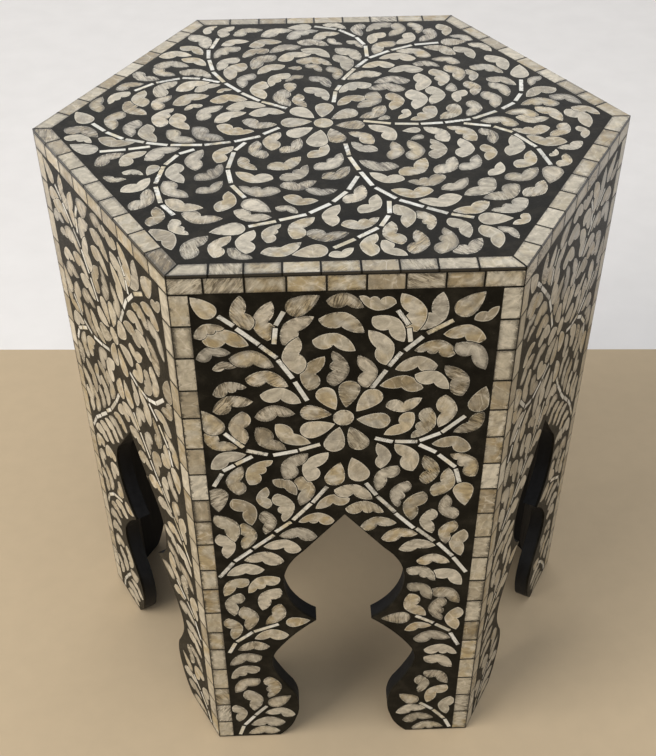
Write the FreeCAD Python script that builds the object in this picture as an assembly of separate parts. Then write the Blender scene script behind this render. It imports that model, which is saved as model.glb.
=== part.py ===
"""Hexagonal side table with a keyhole arch in each of its six sides and a leaf inlay all over.

Six mitred boards stand in a ring, with glue blocks in the corners and cleats at the head that carry
the top board. A thin skin covers the top and the sides: shaped inlay pieces, laid edge to edge with
a line of dark resin between them. Lengths are in millimetres. The origin is on the floor, below the
middle of the top, with +Z up and the front panel facing -Y.
"""
import FreeCAD
import Part
import math
import os

# Driving dimensions
side_length = 200.0
table_height = 456.0
board_thickness = 10.0
top_board_thickness = 12.0
skin_thickness = 2.0
skin_lift = 1.0

# Border tiles
row_width = 10.6
column_width = 11.2
tile_gap = 0.9
corner_line = 0.3
rim_line = 0.4

# Inlay pieces
inlay_gap = 0.6
arch_line = 0.8
stem_width = 2.8

# Frame behind the boards
cleat_width = 18.0
cleat_height = 18.0
block_leg = 22.0
block_lift = 10.0
block_clearance = 1.0

# Screws
screw_diameter = 4.0
screw_head_diameter = 8.0
screw_head_height = 2.5
screw_bite = 7.0
screw_clearance = 0.1

# One overrun serves all cuts.
cut_overrun = 5.0

# The drawings below count in hundredths of the side. These are the half width and the head of the
# panel's field, and the reach of the top's field from its middle to each edge.
PANEL_HALF_SHARE = 43.8
PANEL_HEAD_SHARE = 221
TOP_APOTHEM_SHARE = 80.9

# A leaf has a full back and a notched front, in shares of its length. Each row is an arc's middle and
# end. The back runs from the base to the tip, and a front from the tip to the base. The leaves take
# these fronts in turn: most have one notch, the fourth is nearly plain and the last has two.
LEAF_BACK_SHARES = (((0.18, 0.225), (0.45, 0.345)), ((0.76, 0.25), (1, 0)))
LEAF_FRONT_SHARES = (
    (((0.77, -0.09), (0.5, 0)), ((0.25, -0.175), (0, 0))),
    (((0.76, -0.08), (0.47, 0.035)), ((0.23, -0.17), (0, 0))),
    (((0.8, -0.075), (0.55, -0.01)), ((0.28, -0.175), (0, 0))),
    (((0.74, -0.065), (0.5, -0.015)), ((0.26, -0.13), (0, 0))),
    (((0.77, -0.07), (0.48, 0.02)), ((0.23, -0.175), (0, 0))),
    (((0.86, -0.045), (0.71, 0.01)), ((0.58, -0.085), (0.44, 0.01)), ((0.2, -0.165), (0, 0))),
)

# A bud or petal is round at one end and pointed at the other, in shares of its length.
BUD_SHOULDER_SHARES = (0.32, 0.31)
BUD_FLANK_SHARES = (0.7, 0.2)

# Left half of the arch from its apex to the floor: each row ends a line or an arc, with the arc's
# middle point first.
ARCH_APEX_SHARES = (0, 130)
ARCH_SHOULDER_SHARES = (-14, 112.2)
ARCH_ARC_SHARES = (
    ((-19.3, 104.8), (-21.2, 97.5)),
    ((-18.7, 84.4), (-10, 74.2)),
    ((-19.2, 64.8), (-25.2, 56)),
    ((-26.9, 49.5), (-25.6, 42.4)),
    ((-22.8, 36.2), (-19.4, 30)),
    ((-17.4, 21.2), (-18.7, 12.3)),
    ((-21.2, 5.8), (-26, 0)),
)

# Panel drawing: leaves from the rounded end to the pointed end, with the full back on the left.
PANEL_LEFT_LEAF_SHARES = (
    (-27.8, 208.3, -30, 220.6), (-22.8, 204.3, -21.2, 218.4), (-5.7, 218.2, 5, 215.4),
    (-8, 211.6, 5.3, 206.3), (-9.8, 204, 2.8, 199.7), (-43.9, 206.2, -34.8, 209.3),
    (-41.6, 205.2, -28.2, 202.8), (-43.8, 198.2, -33.6, 200.2), (-34.3, 198, -21.2, 194.3),
    (-39.4, 194, -32, 194.8), (-29.9, 190.2, -17.2, 186.6), (-39.9, 184.2, -29.6, 186.8),
    (-25.8, 183.6, -13.5, 180), (-40.4, 177.4, -28, 181), (-14.2, 191.4, -13.8, 205.4),
    (-18.5, 202.6, -9.2, 212.6), (-11.3, 185, -6.2, 197.9), (14.2, 216.6, 3.6, 219.4),
    (7.6, 212, 16.9, 202.6), (32.2, 201.6, 41.6, 191.2), (20.6, 190, 31.2, 184),
    (-42.6, 153, -31.2, 158.9), (-34.6, 140.7, -32.8, 153.8), (-30.9, 145.4, -22.9, 156),
    (-19.4, 147.3, -11.7, 158.6), (-12, 146.3, -5.3, 158.8), (-27.8, 174.6, -15.4, 175.6),
    (-23.3, 147.2, -15.7, 139.9), (-14, 148.5, -14.6, 134.8), (-22, 140.8, -20.2, 127.3),
    (-25.6, 133.9, -25.4, 144), (-36.5, 138.9, -30.9, 126), (-26.4, 132.9, -26.6, 121.4),
    (-43, 131.3, -37, 118), (-3.5, 141.8, 9.1, 136.9), (0.2, 132.8, 13, 130.5),
    (-42, 122, -40.2, 109.7), (-33.6, 127.2, -34.2, 114), (-35.8, 83.3, -35, 69.6),
    (-22.6, 84.2, -28.4, 72.6), (-41.8, 76.8, -40.4, 64.2), (-28.3, 40.3, -29, 26.4),
    (-37, 32, -35, 18.1), (-42.2, 22.2, -41.5, 10.6), (30.4, 181.6, 29, 168.3),
    (42.8, 174, 33.7, 166), (21, 174.6, 12, 165.8), (26, 176.5, 20.6, 164),
    (36.8, 126.2, 33.4, 138), (5.2, 123.4, 17.4, 125), (12.4, 117.4, 24.8, 119.2),
    (18.6, 111.6, 31.2, 113), (25, 105.4, 36.7, 104), (21.8, 101.4, 32.1, 94.4),
    (31.4, 100, 41.6, 91.7), (22.6, 93.2, 31.2, 84.1), (31, 89.8, 41.5, 81.6),
    (22.4, 66.6, 32.2, 68.8), (25.8, 61.2, 39.8, 61), (30.2, 54.4, 42.8, 51.2),
    (30.4, 49.6, 41.4, 42.9), (31, 40.4, 40.3, 32.4), (29.4, 38, 29.6, 26.6),
    (21, 13, 33.2, 15.8), (23.8, 8, 36.2, 9), (27.8, 2.2, 40.4, 2.4),
)

# Panel leaves with the full back on the right.
PANEL_RIGHT_LEAF_SHARES = (
    (20.4, 206.2, 15.6, 220), (21.3, 206.8, 27.3, 220.1), (36.8, 210, 43.6, 214.6),
    (11.9, 194, 6.4, 207.2), (6.5, 185.4, 3.6, 198), (32.6, 198.2, 20, 199.2),
    (40.8, 203, 28.2, 205), (27.3, 193.2, 14.6, 192.2), (35.4, 181, 29.4, 193.2),
    (23.4, 184.6, 10.2, 186), (12.2, 177.5, 23.2, 180.6), (-3.4, 186.3, -3.8, 199.9),
    (-31.5, 177.1, -31.2, 163.4), (-44, 168, -33.7, 161.8), (-27.6, 170.2, -18.5, 160.6),
    (-21.6, 171.4, -10.8, 163), (1.6, 137.6, -9.6, 133.2), (-3.4, 127.2, -15.4, 127),
    (-9.2, 119.4, -22.1, 120.3), (-14.7, 113, -27.5, 115.2), (-20.7, 107.4, -34.4, 108.4),
    (-27.7, 103.2, -40.8, 100.7), (-33.6, 98.4, -42.3, 89.5), (-22.6, 98.6, -33.8, 90.8),
    (-22.8, 92.8, -29.3, 80.9), (-36.8, 90.8, -39.5, 78.1), (-20.2, 66, -32.9, 64.3),
    (-27.5, 59.4, -39.4, 57.7), (-30.6, 53.4, -42.9, 48.5), (-31.8, 46.6, -42.8, 39.7),
    (-32.1, 39.2, -41.8, 30.5), (-19, 14.4, -31, 16.3), (-23.1, 9.4, -36.8, 8.1),
    (-25.4, 3.4, -38.2, 2), (39.8, 158.8, 27.2, 161.2), (42.2, 146.4, 33.4, 156.6),
    (29.2, 137.5, 33.3, 150.4), (26.6, 143.2, 25.2, 156.3), (21.8, 149.5, 15.5, 161.6),
    (11.4, 151, 10, 162.2), (16.8, 152, 10.6, 140.8), (20.2, 144.9, 17.5, 132.7),
    (25.6, 139.8, 22.2, 126.2), (28.8, 131.4, 29.6, 119.4), (36.8, 125.4, 34.6, 113.8),
    (40.4, 120.8, 40.2, 107.4), (23.2, 87.4, 29.8, 74.8), (34.6, 85.2, 35.6, 71.8),
    (41.2, 79, 41.4, 66), (40.2, 31, 33, 19.8), (42.2, 23.2, 41.2, 11.4),
)

# Panel buds from the round end to the point.
PANEL_BUD_SHARES = (
    (-37.6, 213.4, -44, 220.4), (-16.9, 214.4, -7.4, 219.9), (31.8, 212, 39.4, 219.9),
    (-39, 167.9, -44, 178), (-41.2, 144, -41.5, 133), (-4.2, 144, -1.5, 154.2),
    (5.6, 145.6, 2.1, 156.2), (38.2, 143.4, 39.8, 132.6), (-21, 73, -12.2, 74.2),
    (24.2, 74, 13.6, 73.9), (-29, 21.2, -20.4, 27.4), (29.2, 20, 21.8, 26),
    (39.8, 174.4, 42.4, 184.6),
)

# Panel stem strips from end to end.
PANEL_STEM_SHARES = (
    (-36.4, 213.6, -32.2, 210), (-31.5, 209, -25.3, 203), (-25, 202.5, -20.3, 197.8),
    (-20, 197, -15.8, 189.8), (-15.2, 188.4, -11.6, 180.8), (-17.8, 214.6, -20.2, 209.8),
    (-20.3, 208.8, -20.9, 203), (7.8, 185, 12, 192), (12.8, 193.5, 16.3, 198.7),
    (17.3, 199.3, 22.3, 204.3), (23.5, 205.5, 30.8, 210), (14.7, 214, 18, 208.8),
    (18.2, 207.5, 18.8, 202.5), (-37.4, 168.2, -31.9, 162), (-31, 160.6, -24.4, 158.6),
    (-22.7, 158.3, -15, 159.9), (-14.4, 160.2, -7.9, 162.4), (-29.3, 158, -34.7, 154.7),
    (-35.2, 154.3, -38.9, 151.9), (-39.3, 150.7, -42.3, 145), (9.3, 164.4, 14.9, 162.6),
    (15.6, 162.7, 22.6, 162.4), (23.3, 162.8, 29.7, 165.8), (30.1, 166.1, 36.9, 172.7),
    (23.3, 161, 28.8, 157.5), (29.7, 156.4, 35.4, 150.6), (35.6, 149.8, 37.2, 143.6),
    (-5.8, 143.4, -10.6, 136.1), (-11.1, 135.7, -17.2, 128), (-17.9, 127.1, -23.2, 122.4),
    (-23.8, 120.9, -30.9, 114.5), (-31.6, 113.6, -37.7, 108.1), (-38.2, 107.3, -43.4, 99.8),
    (6.8, 144.5, 10.3, 138.8), (10.7, 138.1, 16.7, 130.4), (16.9, 129.7, 23.3, 122.2),
    (24.2, 122, 30.5, 115.4), (31.9, 114.3, 37.4, 107.3), (37.7, 106.6, 42.7, 98.5),
    (-23.8, 72.5, -32.9, 68.6), (-33.4, 68.3, -39.5, 62.8), (-40.1, 62, -42.6, 56.2),
    (26.2, 74.7, 32.9, 70.3), (33.7, 69.5, 39.3, 65.3), (39.5, 64, 42.9, 56.5),
    (-30.1, 20.8, -34.8, 14.9), (-35.2, 14.2, -39.3, 8.3), (-39.8, 7.4, -41.5, 1.6),
    (30.4, 19.4, 35.4, 14.9), (35.9, 14.3, 40.6, 8), (41, 7.3, 43.2, 1.8),
)

# Panel flower: petals from the round end to the point, then the middle disc and its radius.
PANEL_PETAL_SHARES = (
    (-7.4, 185.6, -3, 176.8), (1.6, 188.2, 0.1, 177.6), (10.2, 184, 3.3, 175.9),
    (13.8, 171.4, 3.4, 172.6), (5.6, 159.8, 1.3, 169.5), (-4.2, 159.2, -1.8, 169.6),
    (-13.9, 167.6, -3.2, 170.9), (-13.8, 176.4, -4.2, 174.9),
)
PANEL_DISC_SHARES = (-0.6, 173.4)
DISC_RADIUS_SHARE = 3.2

# Top drawing: leaves with the full back on the left.
TOP_LEFT_LEAF_SHARES = (
    (-51.5, 72.6, -44.8, 59.8), (-54.8, 62, -46.2, 54.6), (-62.4, 54, -50.2, 54.2),
    (-53.8, 51.4, -44.6, 45), (-63.6, 46, -50.6, 44.8), (-53.8, 41, -42.2, 35.4),
    (-75.4, 27.4, -65.9, 31.6), (-60.6, 21, -54.2, 33), (-54.2, 25.6, -42.6, 31.6),
    (-47.6, 24.4, -38.7, 29.6), (-39.9, 23.8, -34.6, 25.6), (-46.2, 73, -41.8, 80.3),
    (-40, 69.8, -35.2, 79.6), (-35.4, 71.2, -24, 76), (-24.8, 69.8, -12.6, 75.2),
    (-39.6, 62.2, -29.2, 65.6), (-29.2, 61, -16.8, 64.6), (-15, 67.4, -2.8, 74.2),
    (-5, 66.8, 5.2, 71.6), (7.8, 64.4, 13.2, 58), (-11.2, 64.2, 0.6, 60.4),
    (-9.8, 57.6, 0.6, 50.2), (-18.4, 48.6, -6, 53.2), (-11.8, 48, 1.2, 43.8),
    (-8.4, 44.6, -2.8, 38.4), (0.2, 42.6, 2.4, 31.8), (3.2, 58, 11.6, 47),
    (2.6, 52.4, 6.4, 38.6), (-7, 34.6, -0.2, 25.8), (-8.8, 26, -1.4, 15.8),
    (-42, 17.4, -29, 17.6), (-36.2, 11.4, -22.6, 12.6), (-28.4, 7, -16.2, 7.4),
    (-39.8, 1.4, -29.2, 8.2), (-45.4, 3.4, -37.2, 13.4), (-58.4, -0.8, -54.2, 12.3),
    (-54.6, 15, -42.4, 21.4), (-60.4, 11.4, -55.4, 22), (-64.8, 14, -65.2, 26.4),
    (-79.2, 10.6, -79.4, 22.2), (-89.4, -0.6, -77.6, -6.8), (-88.6, -6.2, -79.2, -10.6),
    (-76.4, -25.6, -68, -18), (-68.4, -26, -60.8, -17), (-61, -22.8, -50.2, -15.2),
    (-44.6, -30, -42.8, -16.6), (-38, -25.4, -33, -15), (-67.4, -30, -60.6, -31.8),
    (-45, -78.8, -39, -67.2), (-37, -78.4, -32.4, -67.6), (-55.8, -63, -49, -74),
    (-1, 79.8, 8, 75.4), (28.6, 80, 24, 67.8), (33, 80.2, 35.2, 69.8),
    (32.8, 70.6, 26.2, 60.6), (40.6, 74.2, 35, 62.6), (44, 78.2, 45.6, 67.4),
    (53, 60, 60.8, 52.6), (47.6, 57.2, 53.4, 46.8), (30.6, 43.6, 40.2, 40.8),
    (16, 21.6, 8.6, 9.8), (21, 20.8, 20.2, 7.8), (28.2, 22.8, 28.2, 8),
    (32, 35.4, 30.2, 21.6), (35.8, 25, 34, 11.4), (37.6, 38.8, 38.8, 25),
    (42.8, 41.8, 46, 29), (49.8, 37.8, 50.4, 28.6), (48.4, 28.6, 49.6, 17.4),
    (18, 11, 8.8, 2.6), (25.6, 8.2, 21.8, 1.4), (35, 9.8, 25.8, 0.2),
    (42.8, 11.2, 35.8, 0.6), (48.6, 13.6, 45.2, 2.2), (53.4, 20.4, 55.4, 7.8),
    (56, 27, 61.2, 16.2), (55.6, 30.4, 65.4, 24.6), (51, 40.4, 62.4, 34.4),
    (58.4, 49.4, 63.8, 36.8), (75.4, 16, 85.4, 9.6), (81.2, 7, 90, 1.6),
    (69, 7.8, 76.4, -2.6), (79.4, 5.8, 84.4, -7.4), (71.4, -7.2, 58.6, -7.6),
    (77.6, -4.2, 70.4, -12.6), (81, -6.4, 81.2, -14.6), (75.2, -17, 62.6, -12.2),
    (80.2, -16.8, 71.2, -20.8), (55.2, -43, 43, -50.2), (56.4, -51.4, 44.4, -57.2),
    (48.2, -17.2, 47.8, -27.6), (48.6, -6.4, 51.2, -17), (13.4, -20, 5.2, -13.8),
    (19.4, -30.4, 7, -25.8), (20.4, -38.4, 9.8, -33.6), (33.4, -37, 21.2, -39.4),
    (48, -38.6, 37.6, -48.2), (28.6, -45.2, 15.6, -44.2), (36.8, -49, 23.4, -50.8),
    (44.6, -52.2, 33, -57), (16.6, -52.6, 18.6, -65.4), (22.6, -56.4, 25.4, -67),
    (31.4, -60.8, 36, -71.4), (55.2, -59.4, 49.6, -65), (40.4, -65, 43.8, -77),
    (45, -66, 50.2, -72.4), (-20.2, -36.2, -32, -31.4), (-18, -43.8, -30.8, -40),
    (-19.6, -52.6, -12.8, -56.2), (-23.2, -23.4, -25.4, -11.6), (-20.8, -18.2, -17.9, -6.2),
    (-3, -63.8, -0.4, -52), (-14.6, -69.8, -8, -58.6), (-22, -71.6, -18, -62),
    (-28, -76.8, -25.8, -64.8), (16.4, -74, 14.4, -61.8), (7.2, -79.6, 9.6, -68.2),
)

# Top leaves with the full back on the right.
TOP_RIGHT_LEAF_SHARES = (
    (-63.4, 44.4, -55.2, 37.6), (-70.6, 40.8, -60.6, 34.6), (0.6, 66.8, 5.8, 61.2),
    (-9.8, 60.2, -21.6, 55), (-21.8, 58.2, -31.4, 51.4), (-32.6, 60.8, -41.8, 51.4),
    (-19.6, 53.2, -27.6, 41.4), (-33, 51.4, -39.8, 41), (-30.8, 46.8, -35.6, 33.2),
    (-15.8, 44.2, -25.8, 37.4), (-27.4, 38, -31, 26.6), (-14.6, 37.6, -21.2, 27.4),
    (-9.4, 35.4, -15.8, 31.2), (-24, 31.6, -23.2, 17.8), (-17, 25, -14.5, 12),
    (-11.4, 21.2, -8.8, 11.2), (-30.6, 2.4, -18.8, -0.8), (-39, -0.8, -26.4, -5.2),
    (-46.8, -1.6, -36.2, -10.6), (-55.2, -3.2, -45.4, -11.4), (-53.2, 8.6, -48, -3),
    (-62.2, 1.4, -58.2, -11), (-44.4, 14.6, -50.4, 10.6), (-70.4, 25.6, -76.6, 16.6),
    (-71, 18.2, -63, 8.2), (-71.8, 11, -73.2, -2), (-65.6, 4.6, -66.6, -7.2),
    (-77.4, -7.6, -65.2, -11), (-51.2, -25.2, -47.8, -37.4), (-44.2, -36, -36.4, -26.2),
    (-54, -36, -45.8, -45.8), (-43.6, -43.4, -35.8, -36.6), (-36.6, -54.4, -33.8, -42.8),
    (-52.8, -47, -41, -52), (-47.4, -54.8, -35, -58.2), (-50, -58, -44.6, -66.4),
    (-56.2, -61.4, -55.2, -50.8), (-62.4, -52.4, -58.2, -40.2), (-66.6, -41.8, -58.4, -33.8),
    (-73, -32.6, -65.6, -34.2), (13.6, 80, 13.4, 68.4), (26.2, 79.6, 15.6, 72.6),
    (22.2, 71.2, 16.4, 61.4), (25.4, 63.2, 17.2, 52.4), (55.2, 62.8, 46.8, 67),
    (47.2, 50.6, 35.8, 57.8), (38, 49.6, 25.4, 54.6), (32.2, 48, 18.6, 48.4),
    (48, 43.4, 37.8, 47), (24, 42.8, 12, 41.4), (34, 38.6, 21.2, 37.4),
    (18.8, 36, 6.2, 31.6), (28.4, 30, 15.4, 28.6), (14.4, 28, 2.8, 21.6),
    (26.2, 23.4, 13.2, 24), (11.8, 18.2, 1.8, 12), (46.8, 21.6, 43, 12.6),
    (75.2, 31.2, 70.4, 23.8), (78.8, 21.6, 67.4, 15.4), (78, 10.4, 64.4, 9.6),
    (69.4, 2, 58.2, 4), (61.6, -4.2, 49, -1.4), (61.2, 0.6, 72.4, -0.2),
    (55, -25, 58, -11.6), (56.2, -32.6, 62.4, -22), (68, -26, 70.6, -21.6),
    (69.6, -32.6, 73.2, -24.4), (51.4, -39.4, 62.8, -32.8), (55.6, -49.6, 63.2, -40.6),
    (46.8, -37, 51.6, -28.8), (38.6, -33.4, 45, -23.8), (46, -14.6, 37.4, -4.8),
    (36.8, -14.8, 29.6, -4.8), (19.6, -13, 11.4, -2.6), (12.4, -15.4, 4.6, -7.2),
    (17.2, -25.8, 18.6, -14), (24.4, -26.4, 23.8, -13.4), (31.6, -25.8, 31.2, -13),
    (40, -25.4, 40.8, -13), (19.4, -35.6, 28.2, -25.2), (30.4, -35, 37.4, -24.8),
    (31, -44.6, 40, -38), (19.4, -79, 21.2, -66.6), (27, -79.2, 29.4, -65.8),
    (30.6, -79, 39.6, -71.8), (-32, -54.2, -20.6, -58.2), (-17.2, -46.8, -6.6, -49.4),
    (-10.4, -43, -0.6, -43.4), (-18.2, -40.6, -6.8, -37.8), (-17.8, -37, -9.4, -28),
    (-5, -36.6, 3.8, -29.6), (-17.6, -20, -11.4, -10.6), (-9, -23.4, -2.6, -15),
    (-30.6, -22, -25.2, -30.4), (-22, -29.8, -11.4, -22.6), (-7, -31.2, 1.6, -21),
    (1.4, -51.2, 7.2, -41), (5.6, -57, 11.2, -46.6), (-33.2, -74, -26, -79.2),
    (-23.8, -76.8, -12.2, -71.8), (-11, -67.2, 1.8, -67.4), (-0.4, -63.4, 11, -59.6),
    (-4.6, -79, 2.6, -75.2), (10.8, -71.8, 17.6, -79.6),
)

# Top buds from the round end to the point.
TOP_BUD_SHARES = (
    (-5.4, 78, -14.6, 77.2), (-9.8, 41.6, -14.8, 42), (-14.2, 30, -14.2, 22.6),
    (-81.6, 3.2, -87.2, 11.4), (-77, -16.6, -86.2, -11.4), (-28.4, -63.2, -38.8, -65.4),
    (-57, -26, -59.4, -32.2), (43, 61.4, 52.8, 61.8), (42, 20.8, 42.8, 27.4),
    (19, 3, 14.8, 1.2), (67.6, 30.2, 69.2, 40.8), (68, -32.2, 64.6, -42.6),
    (28.4, -6.4, 22.4, -7.2), (29, -10.6, 24.6, -13), (40, -61.6, 50.4, -61.6),
    (-29.2, -48.6, -20.8, -55.2), (-4.8, -75.4, -15, -78),
)

# Top stem strips from end to end.
TOP_STEM_SHARES = (
    (-18.2, -3, -23.4, -7.2), (-24.4, -8.6, -32.8, -11.8), (-34, -12, -42.4, -13.6),
    (-43.2, -13.6, -53.4, -13.2), (-54.4, -13.2, -61.4, -11.4), (-62.2, -11, -68.4, -8.7),
    (-69.3, -8.3, -75.2, -3.6), (-75.9, -2.7, -80.5, 2.7), (-60, -13.9, -66.8, -15.3),
    (-67.7, -15.5, -75.9, -16.5), (-45.6, -16.4, -50.2, -19), (-50.8, -19.8, -54.2, -25.8),
    (-54.7, -26.9, -56.4, -37.2), (-56.2, -39.2, -54, -48.6), (-53.4, -49.8, -49.6, -55.6),
    (-29.2, -12.6, -32.4, -17.6), (-32.8, -18.8, -34.4, -28.8), (-34.4, -30, -33.2, -38),
    (-32.9, -39.4, -28.8, -46.8), (-15.6, 10.6, -24, 16), (-24.9, 16.6, -31.2, 22.8),
    (-31.8, 23.8, -37, 30.6), (-37.6, 31.6, -41.8, 40), (-42, 41.4, -43.6, 50),
    (-43.9, 51.4, -44.2, 58.6), (-43.2, 60, -41, 68.8), (-39.2, 31.6, -45.2, 34.4),
    (-46.2, 34.8, -52.5, 35.6), (-53.4, 35.2, -61.6, 32.3), (-62.6, 31.6, -68.6, 26.3),
    (0.6, 14.4, 1.6, 22.4), (1.9, 23.4, 3.4, 27.2), (4.6, 31.6, 9.2, 40.4),
    (10, 41.6, 14.2, 48), (15.2, 49.2, 22.8, 54.8), (23.8, 55.4, 31.8, 59.4),
    (32.9, 59.8, 42, 61.2), (14.4, 50.4, 14.4, 59.6), (14, 60.8, 11.4, 67.4),
    (10.8, 68.2, 5.2, 74.6), (4.2, 75.2, -4.2, 78.2), (10, 0.4, 19, -1.8),
    (20.4, -2, 28.2, -2.5), (29, -2.5, 36.4, -2), (37.2, -1.9, 46, 0),
    (46.9, 0.4, 55.4, 5.4), (57.7, 7, 62.4, 11.2), (63.1, 12.6, 65.9, 18),
    (66.4, 19.9, 67.8, 28.7), (43.3, -2.8, 52, -5), (53, -5.5, 58.5, -9.5),
    (59.2, -10.8, 64.5, -19.7), (65, -20.9, 67.1, -31.3), (3.2, -14.8, 4, -22.4),
    (4.1, -23.6, 6.6, -31.8), (7.1, -33.1, 10.2, -41.4), (11, -42.6, 16.8, -49.2),
    (17.8, -50.1, 24.6, -54.3), (25.5, -54.8, 31.4, -58.2), (32.4, -58.6, 38.8, -60.8),
    (6, -35.6, 2.8, -43.4), (2.1, -44.6, -2.2, -50.2), (-3.1, -51.3, -9.4, -56.2),
    (-10.4, -57, -18.4, -59.8), (-19.4, -60.3, -27.4, -62.8), (14.6, -50.6, 14.2, -57.4),
    (13.8, -58.6, 11.2, -64.2), (10.2, -65.1, 4.2, -69.9), (3.2, -70.7, -3, -75),
)

# Top flower: petals from the round end to the point, then the middle disc.
TOP_PETAL_SHARES = (
    (-13.6, 10.6, -6.4, 3.2), (-17.6, 0.2, -7.2, 0.8), (-15.4, -8.8, -7, -3.4),
    (-6.6, -16.4, -4.4, -5.2), (1.4, -14, -1.2, -4.4), (10.2, -2.2, 0.6, -2.2),
    (8, 8, -0.6, 2.2), (-2.2, 13.8, -3.8, 3.6),
)
TOP_DISC_SHARES = (-3.4, -0.4)

# Joints between border tiles: along a panel's head and a top's edge in shares of the row's half
# length, and up a panel's two sides in the panel drawing's own count.
PANEL_ROW_SHARES = (-1, -0.8, -0.57, -0.335, -0.11, 0.115, 0.335, 0.56, 0.775, 1)
TOP_ROW_SHARES = (-1, -0.82, -0.61, -0.38, -0.15, 0.09, 0.32, 0.55, 0.79, 1)
PANEL_LEFT_JOINT_SHARES = (
    10.9, 22.6, 33.7, 45.9, 58.4, 68.7, 80.1, 93.4, 103.7, 116.9, 128.4, 138.7, 150.5, 161.9, 174.8,
    185.9, 198.4, 210.1,
)
PANEL_RIGHT_JOINT_SHARES = (
    12.6, 24.1, 35.5, 47.3, 59.1, 70.5, 82.3, 93.7, 105.9, 116.6, 128.4, 140.1, 151.8, 163.4, 174.8,
    186.6, 198.4, 209.8,
)

# Screws along a cleat, in shares of its half length.
TOP_SCREW_SHARES = (-0.6, 0.6)
PANEL_SCREW_SHARES = (-0.3, 0.3)

PANEL_NAMES = ("front", "front_right", "back_right", "back", "back_left", "front_left")
PANEL_TURN = 360 / len(PANEL_NAMES)

# Sizes worked out from the driving dimensions
MITRE = math.tan(math.radians(PANEL_TURN / 2))
apothem = side_length / 2 / MITRE
board_face = apothem - skin_thickness
board_back = board_face - board_thickness
skin_top = table_height - skin_thickness
board_head = skin_top - top_board_thickness
column_edge = side_length / 2 - corner_line
field_half = column_edge - column_width - tile_gap
row_edge = skin_top - rim_line
field_head = row_edge - row_width - tile_gap
field_apothem = apothem - row_width - tile_gap
cleat_half = board_back * MITRE - block_leg - block_clearance

UP = FreeCAD.Vector(0, 0, 1)
ORIGIN = FreeCAD.Vector(0, 0, 0)


def flat(x, y):
    return FreeCAD.Vector(x, y, 0)


def polygon(points):
    return Part.Wire(Part.makePolygon(list(points) + [points[0]]))


def arc(start, middle, end):
    return Part.Arc(start, middle, end).toShape()


def panel_point(x_share, y_share):
    """A place in the panel drawing, in millimetres from the floor and the panel's middle line."""
    return flat(x_share / PANEL_HALF_SHARE * field_half, y_share / PANEL_HEAD_SHARE * field_head)


def top_point(x_share, y_share):
    """A place in the top drawing, in millimetres from the middle of the top."""
    return flat(x_share, y_share) * (field_apothem / TOP_APOTHEM_SHARE)


def hexagon_face(reach, level):
    """A level hexagon whose sides lie at the given reach from the middle."""
    corner = reach / math.cos(math.radians(PANEL_TURN / 2))
    angles = [math.radians(PANEL_TURN * step) for step in range(len(PANEL_NAMES))]
    points = [FreeCAD.Vector(corner * math.cos(a), corner * math.sin(a), level) for a in angles]
    return Part.Face(polygon(points))


class Inlay:
    """One flat piece of the drawing, and the same outline grown by the resin line around it."""

    def __init__(self, outline):
        self.face = Part.Face(outline(0))
        self.moat = Part.Face(outline(inlay_gap))
        self.box = self.face.BoundBox
        self.moat_box = self.moat.BoundBox

    def trim(self, other):
        """Cut this piece back to leave a line of resin beside one that is already laid."""
        if self.box.intersect(other.moat_box):
            rest = self.face.cut(other.moat)
            self.face = max(rest.Faces, key=lambda face: face.Area)


class Axis:
    """A piece's own axis from its start to its end, with its across direction on one side."""

    def __init__(self, start, end, side):
        self.start = start
        self.along = end - start
        self.length = self.along.Length
        self.along.normalize()
        self.across = flat(-self.along.y, self.along.x) * side

    def place(self, shares, grow):
        """A point of the outline, moved outwards along the axis by the growth."""
        reach_share, lift_share = shares
        reach = reach_share * self.length + grow * (2 * reach_share - 1)
        return self.start + self.along * reach + self.across * (lift_share * self.length)

    def arcs(self, start, rows, grow, face):
        """Arcs from a start point through the rows of shares, grown to one face of the axis."""
        edges = []
        lift = self.across * (grow * face)
        for middle_shares, end_shares in rows:
            middle = self.place(middle_shares, grow) + lift
            end = self.place(end_shares, grow)
            if end_shares[1]:
                end += lift
            edges.append(arc(start, middle, end))
            start = end
        return edges


def leaf(start, end, side, front):
    axis = Axis(start, end, side)

    def outline(grow):
        back_edges = axis.arcs(axis.place((0, 0), grow), LEAF_BACK_SHARES, grow, 1)
        front_edges = axis.arcs(axis.place((1, 0), grow), front, grow, -1)
        return Part.Wire(back_edges + front_edges)

    return Inlay(outline)


def leaves(ends, side):
    """Leaves with their full backs on one side, taking the fronts in turn."""
    return [leaf(*pair, side, LEAF_FRONT_SHARES[step % len(LEAF_FRONT_SHARES)])
            for step, pair in enumerate(ends)]


def bud(start, end):
    axis = Axis(start, end, 1)
    other = Axis(start, end, -1)

    def outline(grow):
        end_point = axis.place((0, 0), grow)
        tip = axis.place((1, 0), grow)
        halves = [(half, half.across * grow) for half in (axis, other)]
        shoulders = [half.place(BUD_SHOULDER_SHARES, grow) + lift for half, lift in halves]
        flanks = [half.place(BUD_FLANK_SHARES, grow) + lift for half, lift in halves]
        return Part.Wire([
            arc(shoulders[1], end_point, shoulders[0]),
            arc(shoulders[0], flanks[0], tip),
            arc(tip, flanks[1], shoulders[1]),
        ])

    return Inlay(outline)


def strip(start, end):
    axis = Axis(start, end, 1)

    def outline(grow):
        half = axis.across * (stem_width / 2 + grow)
        near = axis.place((0, 0), grow)
        far = axis.place((1, 0), grow)
        return polygon([near - half, far - half, far + half, near + half])

    return Inlay(outline)


def disc(centre, radius):
    def outline(grow):
        return Part.Wire(Part.makeCircle(radius + grow, centre))

    return Inlay(outline)


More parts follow.
